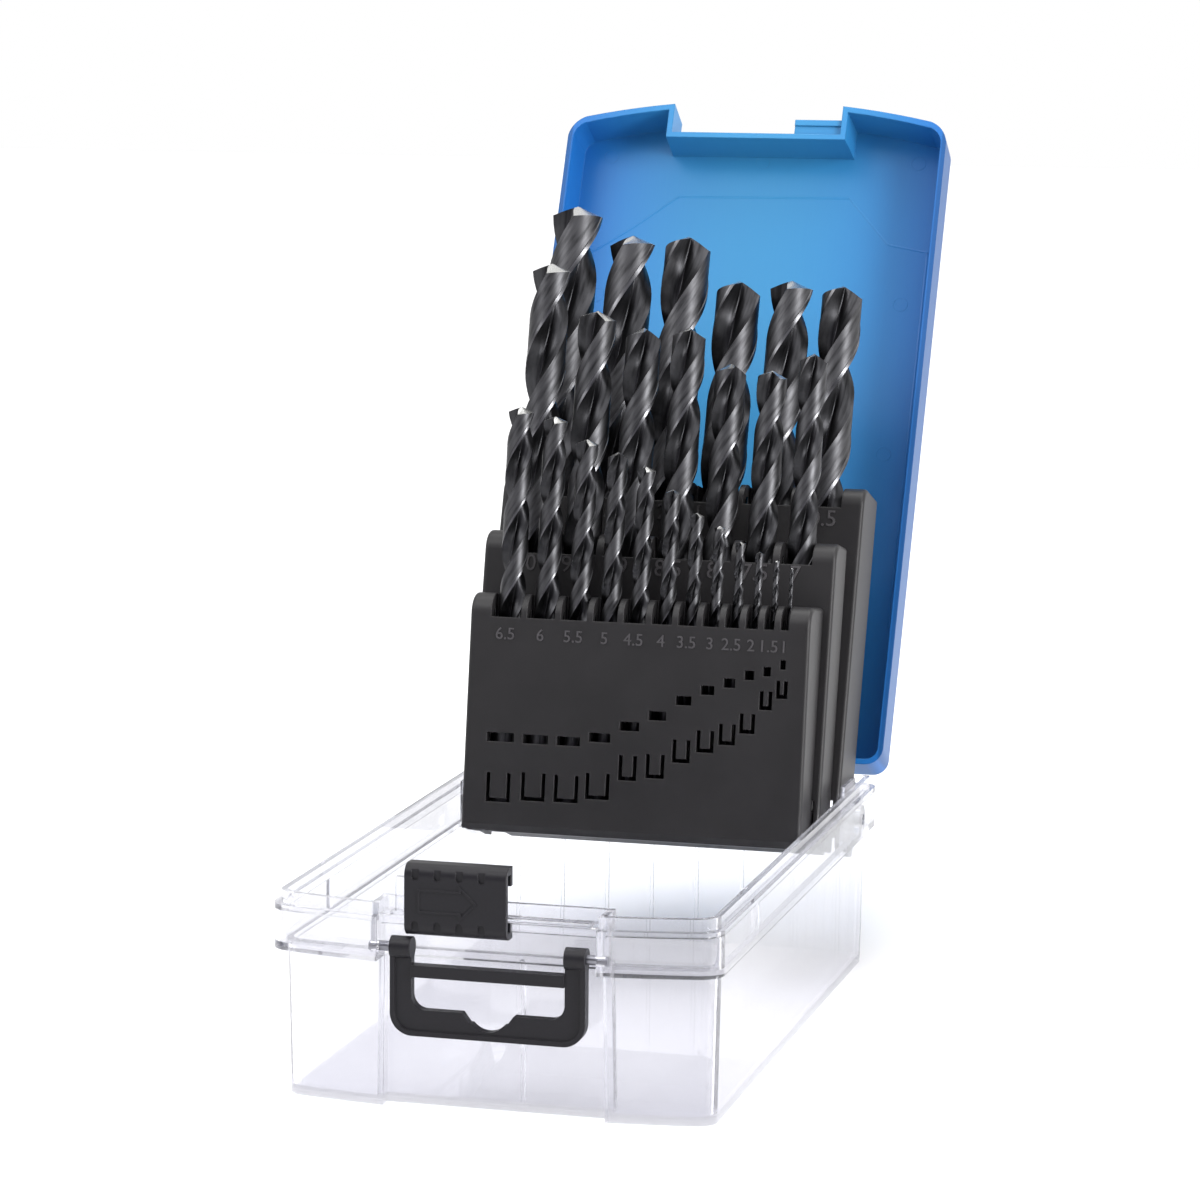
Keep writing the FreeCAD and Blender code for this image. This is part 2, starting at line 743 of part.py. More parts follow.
def make_slider():
    slider = box(slider_left, slider_right, slider_front, lip_back_face, slider_foot, slider_top)
    edges = [
        e for e in slider.Edges
        if abs(e.CenterOfMass.y - slider_front) < over / 2 and abs(e.CenterOfMass.x - slider_left) > over
        and abs(e.CenterOfMass.x - slider_right) > over
    ]
    slider = slider.makeFillet(slider_round, edges)
    x0, x1 = slider_left - over, slider_right + over
    channel = box(
        x0, x1, slider_front + slider_wall, lip_front_face, slider_foot + slider_wall, slider_top - slider_wall
    )
    mouth = box(x0, x1, lip_front_face - over, lip_back_face + over, slider_foot_lip, slider_top_lip)
    slider = slider.cut([channel, mouth])
    for index in range(dimple_count):
        x = dimple_first + index * dimple_pitch
        slider = slider.cut([dimple(x, slider_top - dimple_length), dimple(x, slider_foot)])
    middle = (slider_foot + slider_top) / 2
    arrow = arrow_block(middle, 0).cut(arrow_block(middle, arrow_line))
    return slider.fuse(arrow).removeSplitter()


def dimple(x, foot):
    """Oblong grip pocket in the slider's front, round at both ends."""
    radius = dimple_width / 2
    front = slider_front - over
    depth = over + dimple_depth
    low = Part.makeCylinder(radius, depth, point(x, front, foot + radius), Y_AXIS)
    high = Part.makeCylinder(radius, depth, point(x, front, foot + dimple_length - radius), Y_AXIS)
    bar = box(x - radius, x + radius, front, front + depth, foot + radius, foot + dimple_length - radius)
    return bar.fuse([low, high])


def arrow_block(middle, inset):
    """Arrow that points the way the slider locks, as a low block moved in by the inset."""
    slope = math.hypot(arrow_tip - arrow_neck, arrow_head_half)
    tip_inset = inset * slope / arrow_head_half
    half = arrow_half - inset
    head = arrow_head_half - inset * (slope + arrow_head_half) / (arrow_tip - arrow_neck)
    left = arrow_left + inset
    neck = arrow_neck + inset
    tip = arrow_tip - tip_inset
    front = slider_front - arrow_rise
    outline_points = [
        (left, -half), (neck, -half), (neck, -head), (tip, 0), (neck, head), (neck, half), (left, half),
    ]
    corners = [point(x, front, middle + z) for x, z in outline_points]
    face = Part.Face(Part.makePolygon(corners + corners[:1]))
    return face.extrude(point(0, arrow_rise + arrow_line, 0))


def make_parts():
    parts = {
        "base_shell": make_base(),
        "lid_shell": make_lid(),
        "hinge_pins": make_hinge_pins(),
        "rack_pivot_pins": make_pivot_pins(),
        "handle": make_handle(),
        "handle_pins": make_handle_pins(),
        "latch_slider": make_slider(),
    }
    for name, rack in racks.items():
        parts[name] = make_rack(name)
        axis = -rack["ahead"] + rack["axis_depth"]
        for x, (label, diameter, length, flute, tip, turn) in drill_places(rack):
            drill = make_drill(diameter, length, flute, turn)
            drill.translate(point(x, axis, tip - length))
            parts["drill_" + label] = place_open(drill, rack)
    return parts


def main():
    os.makedirs("parts", exist_ok=True)
    for name, shape in make_parts().items():
        solids = len(shape.Solids)
        print(name, "solids", solids, "valid", shape.isValid(), "volume", round(shape.Volume, 1))
        shape.exportStep("parts/" + name + ".step")


main()
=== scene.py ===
import json
import math

import bpy
from mathutils import Matrix, Vector


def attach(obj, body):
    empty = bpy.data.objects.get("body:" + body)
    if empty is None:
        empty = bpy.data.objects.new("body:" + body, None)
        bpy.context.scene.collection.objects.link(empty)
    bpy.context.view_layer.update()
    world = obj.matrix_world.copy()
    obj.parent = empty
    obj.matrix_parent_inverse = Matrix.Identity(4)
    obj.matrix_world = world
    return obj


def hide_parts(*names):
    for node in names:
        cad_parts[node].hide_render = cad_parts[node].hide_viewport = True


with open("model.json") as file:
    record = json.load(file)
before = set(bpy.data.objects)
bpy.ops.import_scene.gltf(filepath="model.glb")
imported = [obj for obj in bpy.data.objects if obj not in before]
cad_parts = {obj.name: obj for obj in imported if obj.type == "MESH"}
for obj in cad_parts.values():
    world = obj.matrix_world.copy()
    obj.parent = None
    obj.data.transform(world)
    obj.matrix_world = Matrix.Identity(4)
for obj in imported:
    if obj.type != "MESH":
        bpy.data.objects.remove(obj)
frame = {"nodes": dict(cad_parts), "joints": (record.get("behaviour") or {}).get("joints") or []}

bl_info = {
    "name": "Drill Bit Case",
    "version": (1, 0, 0),
    "blender": (4, 5, 0),
    "location": "View3D > Sidebar > Case",
    "description": "Finishes a folding drill bit case: clear base, blue lid, black racks and twist drills",
    "category": "Object",
}

MM = 0.001

# Places taken from the frame
JOINTS = {joint["name"]: joint for joint in frame["joints"]}
LID_HINGE = Vector(JOINTS["lid_hinge"]["pos_m"])
LID_SWING = math.radians(JOINTS["lid_hinge"]["range_deg"][1])
PIVOT = Vector(JOINTS["rack_front_hinge"]["pos_m"])

# Each rack in mm: how far its face stands ahead of the pivot, its deck height, the depth of its holes,
# how far the foot of its numerals lies below the deck, and how much taller they are than the front rack's
RACKS = {
    "rack_front": {"ahead": 35.2, "deck": 51.5, "axis_depth": 5.2, "numerals": 11.2, "taller": 1.0},
    "rack_middle": {"ahead": 23.3, "deck": 65.9, "axis_depth": 6.2, "numerals": 10.1, "taller": 1.4},
    "rack_back": {"ahead": 10.8, "deck": 81.7, "axis_depth": 8.0, "numerals": 10.6, "taller": 1.4},
}

# Each row: first x, land between neighbours, direction, and its drills as
# diameter, length, flute length, tip height above the pivot and turn of the point
ROWS = {
    "rack_front": (-33.2, 2.55, 1, (
        (6.5, 101.0, 63.0, 97.3, 15.0),
        (6.0, 93.0, 57.0, 95.2, 25.0),
        (5.5, 93.0, 57.0, 89.9, 40.0),
        (5.0, 86.0, 52.0, 87.1, 100.0),
        (4.5, 80.0, 47.0, 83.8, 30.0),
        (4.0, 75.0, 43.0, 78.5, 70.0),
        (3.5, 70.0, 39.0, 73.1, 50.0),
        (3.0, 61.0, 33.0, 70.2, 0.0),
        (2.5, 57.0, 30.0, 66.6, 40.0),
        (2.0, 49.0, 24.0, 64.3, 70.0),
        (1.5, 40.0, 18.0, 62.4, 10.0),
        (1.0, 34.0, 12.0, 60.8, 0.0),
    )),
    "rack_middle": (-33.6, 2.85, 1, (
        (10.0, 133.0, 87.0, 133.5, 15.0),
        (9.5, 125.0, 81.0, 121.9, 55.0),
        (9.0, 125.0, 81.0, 118.0, 115.0),
        (8.5, 117.0, 75.0, 118.3, 95.0),
        (8.0, 117.0, 75.0, 109.7, 125.0),
        (7.5, 109.0, 69.0, 108.3, 60.0),
        (7.0, 109.0, 69.0, 112.8, 100.0),
    )),
    "rack_back": (35.0, 2.4, -1, (
        (10.5, 133.0, 87.0, 134.6, 95.0),
        (11.0, 142.0, 94.0, 135.6, 15.0),
        (11.5, 142.0, 94.0, 135.2, 105.0),
        (12.0, 151.0, 101.0, 146.5, 95.0),
        (12.5, 151.0, 101.0, 146.4, 5.0),
        (13.0, 151.0, 101.0, 153.8, 20.0),
    )),
}


def linear(code):
    """Linear colour of an sRGB hex code."""
    values = [int(code[i:i + 2], 16) / 255 for i in (1, 3, 5)]
    return tuple(v / 12.92 if v <= 0.04045 else ((v + 0.055) / 1.055) ** 2.4 for v in values)


# Sizes and colours that a user would change


class CaseSizes(bpy.types.PropertyGroup):
    helix_angle: bpy.props.FloatProperty(
        name="Helix angle", description="Angle of the flutes to the drill's axis",
        default=math.radians(30), subtype="ANGLE")
    point_angle: bpy.props.FloatProperty(
        name="Point angle", description="Whole angle of the drill's point",
        default=math.radians(135), subtype="ANGLE")
    margin_angle: bpy.props.FloatProperty(
        name="Margin", description="Width of the raised margin along each land",
        default=math.radians(11), subtype="ANGLE")
    numeral_height: bpy.props.FloatProperty(
        name="Numeral height",
        description="Height of the raised size numerals on the front rack, in mm",
        default=3.0)
    numeral_rise: bpy.props.FloatProperty(
        name="Numeral rise", description="How far the numerals stand out of the face, in mm",
        default=0.2)
    line_rise: bpy.props.FloatProperty(
        name="Line rise", description="Height of the moulded lines inside the lid, in mm",
        default=0.035)
    lens: bpy.props.FloatProperty(
        name="Lens", description="Focal length of the camera in mm", default=128.7)


class CaseColours(bpy.types.PropertyGroup):
    # The lid's two blues are painted light and shade: the lighter blue stands in for light through the
    # middle of the lid, the deeper one for shade towards its walls and rims
    lid_centre: bpy.props.FloatVectorProperty(
        name="Lid centre", description="Blue of the lid where light passes through it",
        default=linear("#307AA8"), subtype="COLOR")
    lid_edge: bpy.props.FloatVectorProperty(
        name="Lid edge", description="Deeper blue of the lid's walls and rims",
        default=linear("#1A5EA2"), subtype="COLOR")
    rack: bpy.props.FloatVectorProperty(
        name="Rack", description="Black of the racks", default=linear("#1F1E1F"), subtype="COLOR")
    grip: bpy.props.FloatVectorProperty(
        name="Grip", description="Black of the handle and latch", default=linear("#17161A"),
        subtype="COLOR")
    oxide: bpy.props.FloatVectorProperty(
        name="Steel oxide", description="Dark grey of the drills' lands", default=linear("#4A4A4C"),
        subtype="COLOR")
    # The darker flute grey is painted shade in the flutes' hollows
    flute: bpy.props.FloatVectorProperty(
        name="Flute", description="Darker grey inside the flutes", default=linear("#353537"),
        subtype="COLOR")
    ground: bpy.props.FloatVectorProperty(
        name="Ground steel", description="Bright grey of the ground points", default=linear("#D6D6D4"),
        subtype="COLOR")
    clear: bpy.props.FloatVectorProperty(
        name="Clear shell", description="Faint tint of the clear base", default=linear("#F8F8FA"),
        subtype="COLOR")


# Material helpers


def add_node(tree, kind, links=None, **settings):
    """Adds a node, sets its properties and unlinked inputs, and links the inputs that are given."""
    node = tree.nodes.new(kind)
    for name, value in settings.items():
        setattr(node, name, value)
    for name, value in (links or {}).items():
        socket = node.inputs[name]
        if isinstance(value, bpy.types.NodeSocket):
            tree.links.new(value, socket)
        else:
            socket.default_value = value
    return node


def new_material(name):
    """Empty material with its output node; returns the material, its tree and the output."""
    material = bpy.data.materials.new(name)
    material.use_nodes = True
    tree = material.node_tree
    tree.nodes.clear()
    output = add_node(tree, "ShaderNodeOutputMaterial")
    return material, tree, output


def finish_shader(tree, output, links):
    shader = add_node(tree, "ShaderNodeBsdfPrincipled", links)
    tree.links.new(shader.outputs["BSDF"], output.inputs["Surface"])
    return shader


def solid_colour(value):
    return (*value, 1.0)


def per_mm(size):
    """Texture scale at which one feature is the given size in millimetres."""
    return 1 / (size * MM)


def soft_edge_normal(tree, radius, height=None, distance=0.05, strength=0.3):
    """Normal that rounds sharp edges by a radius in mm, with an optional bump on top."""
    edge = add_node(tree, "ShaderNodeBevel", {"Radius": radius * MM}, samples=4)
    if height is None:
        return edge.outputs["Normal"]
    bump = add_node(tree, "ShaderNodeBump", {
        "Height": height, "Distance": distance * MM, "Strength": strength,
        "Normal": edge.outputs["Normal"]})
    return bump.outputs["Normal"]


def grain(tree, size, stretch=(1, 1, 1), detail=2.0, turn=0.0, place="Object"):
    """Noise whose grains are the given size in mm, stretched and turned about X."""
    source = add_node(tree, "ShaderNodeTexCoord")
    mapping = add_node(tree, "ShaderNodeMapping", {
        "Vector": source.outputs[place], "Scale": stretch, "Rotation": (turn, 0, 0)})
    noise = add_node(tree, "ShaderNodeTexNoise", {
        "Vector": mapping.outputs["Vector"], "Scale": per_mm(size), "Detail": detail})
    return noise.outputs["Fac"]


def ramp(tree, value, stops):
    """Colour ramp through the given (position, colour) stops."""
    node = add_node(tree, "ShaderNodeValToRGB", {"Fac": value})
    elements = node.color_ramp.elements
    while len(elements) < len(stops):
        elements.new(0.5)
    for element, (position, colour) in zip(elements, stops):
        element.position = position
        element.color = solid_colour(colour)
    return node.outputs["Color"]


def shade(colour, factor):
    return tuple(channel * factor for channel in colour)


# Materials

# The clear plastic: how fast its depth tints light, its tint, and the share of rays that pass unbent,
# which keeps its edges from turning black
EDGE_TINT_PER_METRE = 45.0
EDGE_TINT = "#D0D0DA"
STRAIGHT_SHARE = 0.12

# The lid: half its width in mm, where painted shade on its outer walls begins and where it is full, as
# shares of that half squared, and how far the painted shade darkens their blue
OUTER_WALL = 51.15
WALL_FROM_SHARE = 0.945
WALL_FULL_SHARE = 0.965
WALL_PAINTED_SHADE = 0.6


def clear_polystyrene(colours):
    """Crystal polystyrene, injection moulded: water clear, its edges gather a faint violet grey."""
    material, tree, output = new_material("clear_polystyrene_moulded")
    shader = finish_shader(tree, output, {
        "Base Color": solid_colour(colours.clear),
        "Transmission Weight": 1.0,
        "IOR": 1.45,
        "Roughness": 0.015,
    })
    path = add_node(tree, "ShaderNodeLightPath")
    soft_light = add_node(tree, "ShaderNodeMath", {
        0: path.outputs["Is Shadow Ray"], 1: path.outputs["Is Diffuse Ray"]}, operation="MAXIMUM")
    passing = add_node(tree, "ShaderNodeMath", {
        0: soft_light.outputs[0], 1: STRAIGHT_SHARE}, operation="MAXIMUM")
    through = add_node(tree, "ShaderNodeBsdfTransparent", {"Color": solid_colour(colours.clear)})
    mix = add_node(tree, "ShaderNodeMixShader", {
        0: passing.outputs[0], 1: shader.outputs["BSDF"], 2: through.outputs["BSDF"]})
    tree.links.new(mix.outputs["Shader"], output.inputs["Surface"])
    depth = add_node(tree, "ShaderNodeVolumeAbsorption", {
        "Color": solid_colour(linear(EDGE_TINT)), "Density": EDGE_TINT_PER_METRE})
    tree.links.new(depth.outputs["Volume"], output.inputs["Volume"])
    return material


def blue_polypropylene(colours):
    """Polypropylene, injection moulded: lets light through, with fine flow lines along the lid; its blue has
    painted light and shade, lighter across the middle and deeper towards the sides, and painted shade on the
    outer walls.
    """
    material, tree, output = new_material("blue_polypropylene_painted_light_and_shade")
    place = add_node(tree, "ShaderNodeTexCoord")
    split = add_node(tree, "ShaderNodeSeparateXYZ", {"Vector": place.outputs["Object"]})
    across = add_node(tree, "ShaderNodeMath", {
        0: split.outputs["X"], 1: per_mm(OUTER_WALL)}, operation="MULTIPLY")
    square = add_node(tree, "ShaderNodeMath", {
        0: across.outputs[0], 1: across.outputs[0]}, operation="MULTIPLY")
    flow = grain(tree, 0.6, (1, 0.06, 0.06), 3.0, -(LID_SWING - math.pi / 2))
    mixed = add_node(tree, "ShaderNodeMath", {
        0: flow, 1: 0.1, 2: square.outputs[0]}, operation="MULTIPLY_ADD")
    # Painted light and shade: the blue runs from the lighter centre to the deeper sides across the lid
    blue = ramp(tree, mixed.outputs[0], [(0.05, colours.lid_centre), (0.98, colours.lid_edge)])
    # Painted shade: the outer walls' blue is darkened
    painted_wall_shade = ramp(tree, square.outputs[0], [
        (WALL_FROM_SHARE, (1, 1, 1)), (WALL_FULL_SHARE, (WALL_PAINTED_SHADE,) * 3)])
    shaded = add_node(tree, "ShaderNodeVectorMath", {0: blue, 1: painted_wall_shade}, operation="MULTIPLY")
    finish_shader(tree, output, {
        "Base Color": shaded.outputs["Vector"],
        "Roughness": 0.38,
        "IOR": 1.49,
        "Specular IOR Level": 0.26,
        "Normal": soft_edge_normal(tree, 0.35, flow, 0.03, 0.25),
    })
    return material


def black_polypropylene(colours):
    """Polypropylene from a spark-eroded mould: satin black with a fine even texture."""
    material, tree, output = new_material("black_polypropylene_satin")
    texture = grain(tree, 0.35, detail=3.0)
    cloud = grain(tree, 14.0, detail=2.0)
    colour = ramp(tree, cloud, [(0.3, shade(colours.rack, 0.88)), (0.7, shade(colours.rack, 1.12))])
    finish_shader(tree, output, {
        "Base Color": colour,
        "Roughness": 0.42,
        "IOR": 1.49,
        "Specular IOR Level": 0.28,
        "Normal": soft_edge_normal(tree, 0.45, texture, 0.03, 0.35),
    })
    return material


def numeral_plastic(colours):
    """The racks' polypropylene where the mould was engraved: smoother, and its colour is painted three to
    four times lighter than the rack as a painted highlight on the numerals.
    """
    material, tree, output = new_material("black_polypropylene_numerals_painted_highlight")
    texture = grain(tree, 0.35, detail=2.0)
    # Painted highlight: the numerals' black is lightened to read as the light they catch
    colour = ramp(tree, texture, [(0.3, shade(colours.rack, 3.2)), (0.7, shade(colours.rack, 4.4))])
    finish_shader(tree, output, {"Base Color": colour, "Roughness": 0.3, "IOR": 1.49})
    return material


def black_nylon(colours):
    """Nylon, injection moulded: dark with a soft sheen along its rounded edges."""
    material, tree, output = new_material("black_nylon_moulded")
    texture = grain(tree, 0.5, detail=2.0)
    colour = ramp(tree, texture, [(0.3, shade(colours.grip, 0.9)), (0.75, shade(colours.grip, 1.15))])
    finish_shader(tree, output, {
        "Base Color": colour,
        "Roughness": 0.42,
        "IOR": 1.53,
        "Specular IOR Level": 0.2,
        "Normal": soft_edge_normal(tree, 0.4, texture, 0.03, 0.25),
    })
    return material


def oxide_steel(name, base, roughness):
    """High-speed steel, ground and steam tempered: dark oxide with streaks along the flutes."""
    material, tree, output = new_material(name)
    streaks = grain(tree, 0.9, (1, 0.12, 1), 4.0, place="UV")
    colour = ramp(tree, streaks, [(0.28, shade(base, 0.35)), (0.5, base), (0.75, shade(base, 1.5))])
    finish_shader(tree, output, {
        "Base Color": colour,
        "Metallic": 1.0,
        "Roughness": roughness,
        "Normal": add_node(tree, "ShaderNodeBump", {
            "Height": streaks, "Distance": 0.03 * MM, "Strength": 0.3}).outputs["Normal"],
    })
    return material


def ground_steel(colours):
    """High-speed steel, freshly ground after tempering: bright with fine wheel marks."""
    material, tree, output = new_material("ground_high_speed_steel")
    marks = grain(tree, 0.12, (1, 0.15, 0.15), 2.0)
    colour = ramp(tree, marks, [(0.3, shade(colours.ground, 0.75)), (0.7, colours.ground)])
    finish_shader(tree, output, {
        "Base Color": colour,
        "Metallic": 1.0,
        "Roughness": 0.24,
        "Normal": add_node(tree, "ShaderNodeBump", {
            "Height": marks, "Distance": 0.02 * MM, "Strength": 0.2}).outputs["Normal"],
    })
    return material


def drawn_steel_pin():
    """Steel wire, drawn and cut to length: plain grey with drawing lines along it."""
    material, tree, output = new_material("drawn_steel_pin")
    lines = grain(tree, 0.2, (0.05, 1, 1), 2.0)
    colour = ramp(tree, lines, [(0.3, linear("#5F6066")), (0.7, linear("#8A8A90"))])
    finish_shader(tree, output, {"Base Color": colour, "Metallic": 1.0, "Roughness": 0.35})
    return material


def studio_white():
    """Painted studio sweep: matt white with the faintest mottle."""
    material, tree, output = new_material("studio_sweep_white")
    mottle = grain(tree, 120.0, detail=1.0)
    colour = ramp(tree, mottle, [(0.0, linear("#F7F7F7")), (1.0, linear("#FBFBFB"))])
    finish_shader(tree, output, {"Base Color": colour, "Roughness": 0.9})
    return material


# Geometry helpers


def new_piece(name, vertices, faces, body, materials, smooth_angle=None):
    """Mesh piece in the frame's coordinates that rides on a body."""
    mesh = bpy.data.meshes.new(name)
    mesh.from_pydata([tuple(v) for v in vertices], [], faces)
    piece = bpy.data.objects.new(name, mesh)
    bpy.context.scene.collection.objects.link(piece)
    for material in materials:
        mesh.materials.append(material)
    if smooth_angle is not None:
        mesh.shade_smooth()
        mesh.set_sharp_from_angle(angle=smooth_angle)
    mesh.validate()
    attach(piece, body)
    return piece


def rack_matrix(rack):
    """Turns millimetres across, behind the pivot and up the rack into frame coordinates."""
    name = "drill_{}_{}_slide".format(*split_size(ROWS[rack][3][0][0]))
    up = -Vector(JOINTS[name]["axis"])
    across = Vector((1, 0, 0))
    back = up.cross(across)
    turn = Matrix((across, back, up)).transposed().to_4x4()
    return Matrix.Translation(PIVOT) @ turn @ Matrix.Scale(MM, 4)


def split_size(diameter):
    whole = int(diameter)
    return whole, int(round((diameter - whole) * 10))


def row_places(rack):
    """X of each drill in a row, with the drill's own sizes."""
    x, land, turn, drills = ROWS[rack]
    last = None
    for drill in drills:
        if last is not None:
            x += turn * ((last + drill[0]) / 2 + land)
        last = drill[0]
        yield x, drill


def lid_matrix():
    """Turns millimetres of the shut lid into frame coordinates of the open lid."""
    swing = Matrix.Rotation(-LID_SWING, 4, "X")
    return Matrix.Translation(LID_HINGE) @ swing @ Matrix.Translation(-LID_HINGE) @ Matrix.Scale(MM, 4)


# Drills

# A section: points along a relieved land and along a flute, and the land's angle
RELIEVED_POINTS = 8
FLUTE_POINTS = 14
LAND_POINTS = RELIEVED_POINTS + 2
LAND_ANGLE = math.radians(84)

# A flute's hollow: how far it leans to its leading side, how full it is, the web that it leaves
# and the body's clearance, both as shares of the radius
FLUTE_SKEW = 0.72
FLUTE_FULLNESS = 0.8
WEB_SHARE = 0.22
CLEARANCE_SHARE = 0.965
MARGIN_STEP_SHARE = 0.12

# Along a drill: the chamfer of its shank, the run-out of its flutes, the turn from ring to ring,
# the gap below its point in diameters, and the point's rings as shares of the radius
CHAMFER_SHARE = 0.06
RUN_OUT_DIAMETERS = 0.9
RUN_OUT_RINGS = 6
RING_TURN = math.radians(9)
LEAST_RINGS = 8
SHANK_RINGS = 3
RELIEF_SHARE = 0.26
POINT_GAP_SHARE = 0.02
POINT_SHARES = (1.0, 0.75, 0.5, 0.28, 0.1)

# Material slots
LAND, FLUTE, POINT, MARGIN = range(4)


def section(margin):
    """Angle, share of the radius and relief of each point round a section: land, margin and flute, twice."""
    points = []
    flute_angle = math.pi - LAND_ANGLE
    relieved = LAND_ANGLE - margin
    for half in (-LAND_ANGLE, math.pi - LAND_ANGLE):
        for index in range(RELIEVED_POINTS):
            share = index / (RELIEVED_POINTS - 1)
            points.append((half + share * relieved, CLEARANCE_SHARE, 1 - share * relieved / LAND_ANGLE))
        points.append((half + relieved + margin * MARGIN_STEP_SHARE, 1.0, margin / LAND_ANGLE))
        points.append((half + LAND_ANGLE, 1.0, 0.0))
        for index in range(1, FLUTE_POINTS + 1):
            share = index / (FLUTE_POINTS + 1)
            dip = math.sin(math.pi * share ** FLUTE_SKEW) ** FLUTE_FULLNESS
            rim = 1.0 + (CLEARANCE_SHARE - 1.0) * share
            points.append((half + LAND_ANGLE + share * flute_angle, rim - (rim - WEB_SHARE) * dip, share))
    return points


def drill_rings(diameter, length, flute, helix, slope, shape):
    """Rings of a drill from its shank end to its point, as lists of local points."""
    radius = diameter / 2
    start = length - flute
    twist = 2 * math.pi / (math.pi * diameter / math.tan(helix))
    chamfer = CHAMFER_SHARE * diameter
    rings = []

    def ring(z, depth, share=1.0, pointed=False):
        points = []
        for angle, size, relief in shape:
            r = radius * (1 - depth * (1 - size)) * share
            top = z
            if pointed:
                top = length - r * slope - r * relief * RELIEF_SHARE
            turn = angle + twist * ((top if pointed else z) - length)
            points.append((r * math.cos(turn), r * math.sin(turn), top))
        rings.append(points)

    ring(0.0, 0.0, 1 - chamfer / radius)
    ring(chamfer, 0.0)
    ring(start - RUN_OUT_DIAMETERS * diameter * 0.5, 0.0)
    for index in range(1, RUN_OUT_RINGS + 1):
        share = index / RUN_OUT_RINGS
        z = start + (share - 0.5) * RUN_OUT_DIAMETERS * diameter
        ring(z, math.sin(share * math.pi / 2) ** 2)
    low = start + 0.5 * RUN_OUT_DIAMETERS * diameter
    high = length - radius * (slope + RELIEF_SHARE) - POINT_GAP_SHARE * diameter
    count = max(int((high - low) * twist / RING_TURN), LEAST_RINGS)
    for index in range(1, count + 1):
        ring(low + (high - low) * index / count, 1.0)
    for share in POINT_SHARES:
        ring(0.0, 1.0, share, True)
    return rings


def drill_mesh(drill, sizes):
    """Vertices, faces, material indices and places along the flutes of one twist drill."""
    diameter, length, flute, _, turn = drill
    slope = 1 / math.tan(sizes.point_angle / 2)
    shape = section(sizes.margin_angle)
    rings = drill_rings(diameter, length, flute, sizes.helix_angle, slope, shape)
    spin = Matrix.Rotation(math.radians(turn), 3, "Z")
    count = len(shape)
    vertices = [spin @ Vector(p) for points in rings for p in points]
    faces = [tuple(reversed(range(count)))]
    indices = [LAND]
    pitch = math.pi * diameter * MM / count
    along = [(0.0, 0.0)] * count
    last = len(rings) - 1
    for level in range(last):
        a, b = level * count, (level + 1) * count
        low, high = vertices[a].z * MM, vertices[b].z * MM
        for index in range(count):
            after = (index + 1) % count
            left, right = index * pitch, (index + 1) * pitch
            faces.append((a + index, a + after, b + after, b + index))
            along += [(left, low), (right, low), (right, high), (left, high)]
            place = index % (count // 2)
            if level >= last - len(POINT_SHARES) + 1:
                indices.append(POINT)
            elif level < SHANK_RINGS or place < LAND_POINTS - 2:
                indices.append(LAND)
            elif place == LAND_POINTS - 2:
                indices.append(MARGIN)
            else:
                indices.append(FLUTE)
    top = len(vertices)
    vertices.append(Vector((0, 0, length)))
    for index in range(count):
        faces.append((last * count + index, last * count + (index + 1) % count, top))
        indices.append(POINT)
        along += [(index * pitch, length * MM)] * 3
    return vertices, faces, indices, along


class CASE_OT_drills(bpy.types.Operator):
    """Makes the twist drills, each with its flutes, margins and ground point"""
    bl_idname = "case.drills"
    bl_label = "Drills"

    def execute(self, context):
        sizes, colours = context.scene.case_sizes, context.scene.case_colours
        materials = [
            oxide_steel("steam_tempered_steel_land", colours.oxide, 0.46),
            # Painted shade: the flutes get a darker grey than the lands
            oxide_steel("steam_tempered_steel_flute_painted_shade", colours.flute, 0.38),
            ground_steel(colours),
            oxide_steel("steam_tempered_steel_margin", shade(colours.oxide, 1.9), 0.34),
        ]
        for rack in ROWS:
            place = rack_matrix(rack)
            axis = RACKS[rack]["axis_depth"] - RACKS[rack]["ahead"]
            for x, drill in row_places(rack):
                node = "drill_{}_{}".format(*split_size(drill[0]))
                vertices, faces, indices, along = drill_mesh(drill, sizes)
                offset = Vector((x, axis, drill[3] - drill[1]))
                vertices = [place @ (v + offset) for v in vertices]
                piece = new_piece(
                    "twist_" + node, vertices, faces, node, materials, math.radians(32))
                piece.data.polygons.foreach_set("material_index", indices)
                layer = piece.data.uv_layers.new(name="along_flutes")
                layer.uv.foreach_set("vector", [value for corner in along for value in corner])
                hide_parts(node)
        return {"FINISHED"}


# Racks

# Font size for a numeral of height 1
FONT_SIZE_SHARE = 1.38


def numeral_text(diameter):
    whole, tenth = split_size(diameter)
    return str(whole) if tenth == 0 else "{}.{}".format(whole, tenth)


def text_mesh(words, height, rise):
    """Vertices and faces of raised numerals, centred, in millimetres on the XY plane."""
    curve = bpy.data.curves.new("numeral", "FONT")
    curve.body = words
    curve.size = height * FONT_SIZE_SHARE
    curve.extrude = rise
    curve.resolution_u = 3
    curve.align_x = "CENTER"
    holder = bpy.data.objects.new("numeral", curve)
    bpy.context.scene.collection.objects.link(holder)
    graph = bpy.context.evaluated_depsgraph_get()
    mesh = bpy.data.meshes.new_from_object(holder.evaluated_get(graph))
    vertices = [v.co.copy() for v in mesh.vertices]
    faces = [tuple(p.vertices) for p in mesh.polygons]
    bpy.data.objects.remove(holder)
    bpy.data.curves.remove(curve)
    bpy.data.meshes.remove(mesh)
    return vertices, faces


